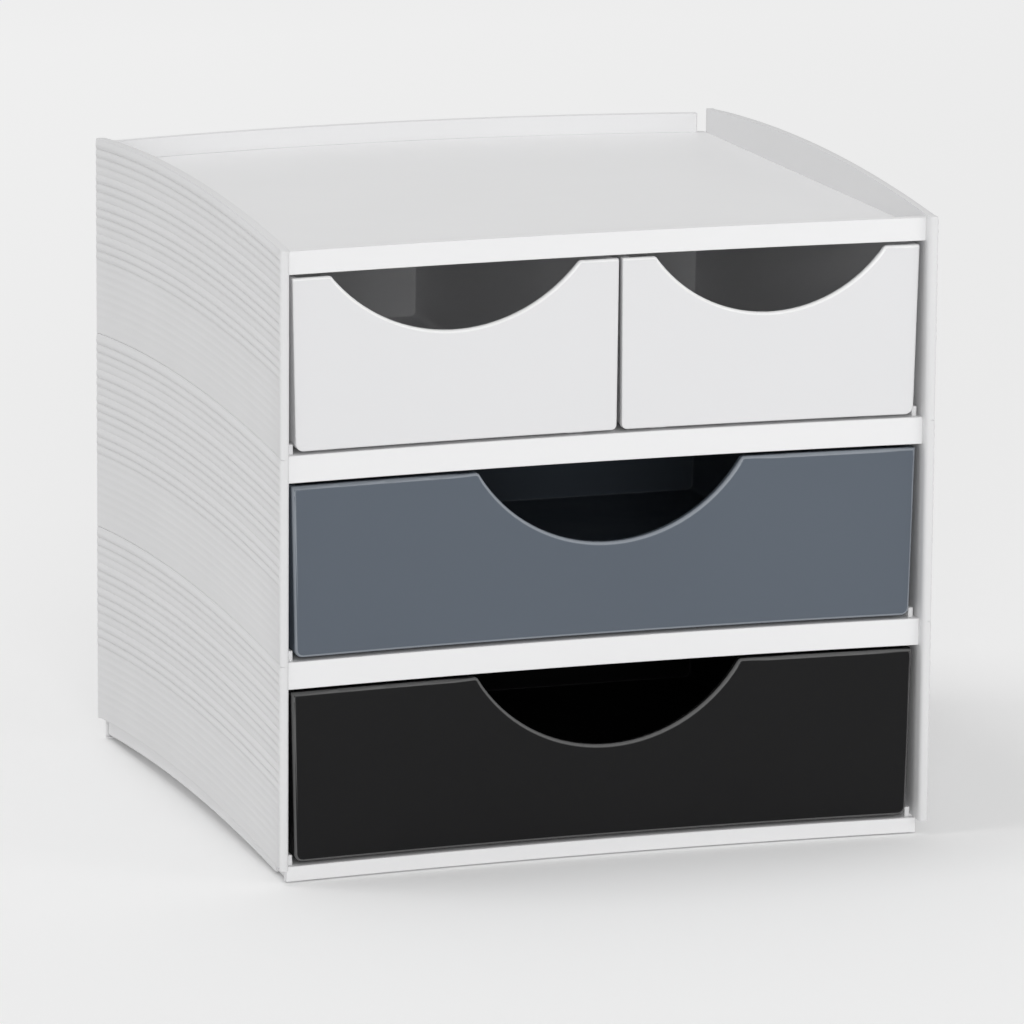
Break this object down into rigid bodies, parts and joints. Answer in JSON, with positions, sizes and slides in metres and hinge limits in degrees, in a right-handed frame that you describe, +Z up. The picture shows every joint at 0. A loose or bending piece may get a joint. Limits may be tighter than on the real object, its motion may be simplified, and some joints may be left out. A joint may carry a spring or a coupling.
{
  "type": "desktop mini drawers",
  "caption": "Desktop drawer tower of stacked side modules with open-top sliding drawers, scooped finger cut-outs and a shallow tray on top.",
  "frame": {"origin": "on the table, under the middle of the overall bounding box", "axes": "+Z up; the drawer fronts face -Y and the drawers slide out along -Y; +X to the right seen from the front"},
  "size_m": [0.21, 0.208, 0.1998],
  "materials": {
    "frame_white": "semi-gloss moulded",
    "side_white": "satin, fine arched grooves",
    "rear_white": "satin moulded",
    "guide_white": "semi-gloss moulded",
    "pin_white": "moulded",
    "drawer_white": "semi-gloss moulded",
    "drawer_blue_grey": "semi-gloss moulded",
    "drawer_black": "semi-gloss moulded",
    "foot_rubber": "matt"
  },
  "bodies": {
    "cabinet": {"base_deck": "frame_white", "lower_shelf": "frame_white", "upper_shelf": "frame_white", "top_tray": "frame_white", "base_rail_left": "frame_white", "base_rail_right": "frame_white", "left_side_lower": "side_white", "left_side_middle": "side_white", "left_side_upper": "side_white", "right_side_lower": "side_white", "right_side_middle": "side_white", "right_side_upper": "side_white", "rear_panel_lower": "rear_white", "rear_panel_middle": "rear_white", "rear_panel_upper": "rear_white", "centre_guide": "guide_white", "seam_pins": "pin_white", "foot_front_left": "foot_rubber", "foot_front_right": "foot_rubber", "foot_rear_left": "foot_rubber", "foot_rear_right": "foot_rubber"},
    "drawer_top_left": {"drawer_top_left": "drawer_white"},
    "drawer_top_right": {"drawer_top_right": "drawer_white"},
    "drawer_middle": {"drawer_middle": "drawer_blue_grey"},
    "drawer_bottom": {"drawer_bottom": "drawer_black"}
  },
  "joints": [
    {"name": "drawer_top_left_slide", "type": "slide", "parent": "cabinet", "child": "drawer_top_left", "axis": [0, -1, 0], "range_m": [0, 0.164]},
    {"name": "drawer_top_right_slide", "type": "slide", "parent": "cabinet", "child": "drawer_top_right", "axis": [0, -1, 0], "range_m": [0, 0.164]},
    {"name": "drawer_middle_slide", "type": "slide", "parent": "cabinet", "child": "drawer_middle", "axis": [0, -1, 0], "range_m": [0, 0.164]},
    {"name": "drawer_bottom_slide", "type": "slide", "parent": "cabinet", "child": "drawer_bottom", "axis": [0, -1, 0], "range_m": [0, 0.164]}
  ]
}
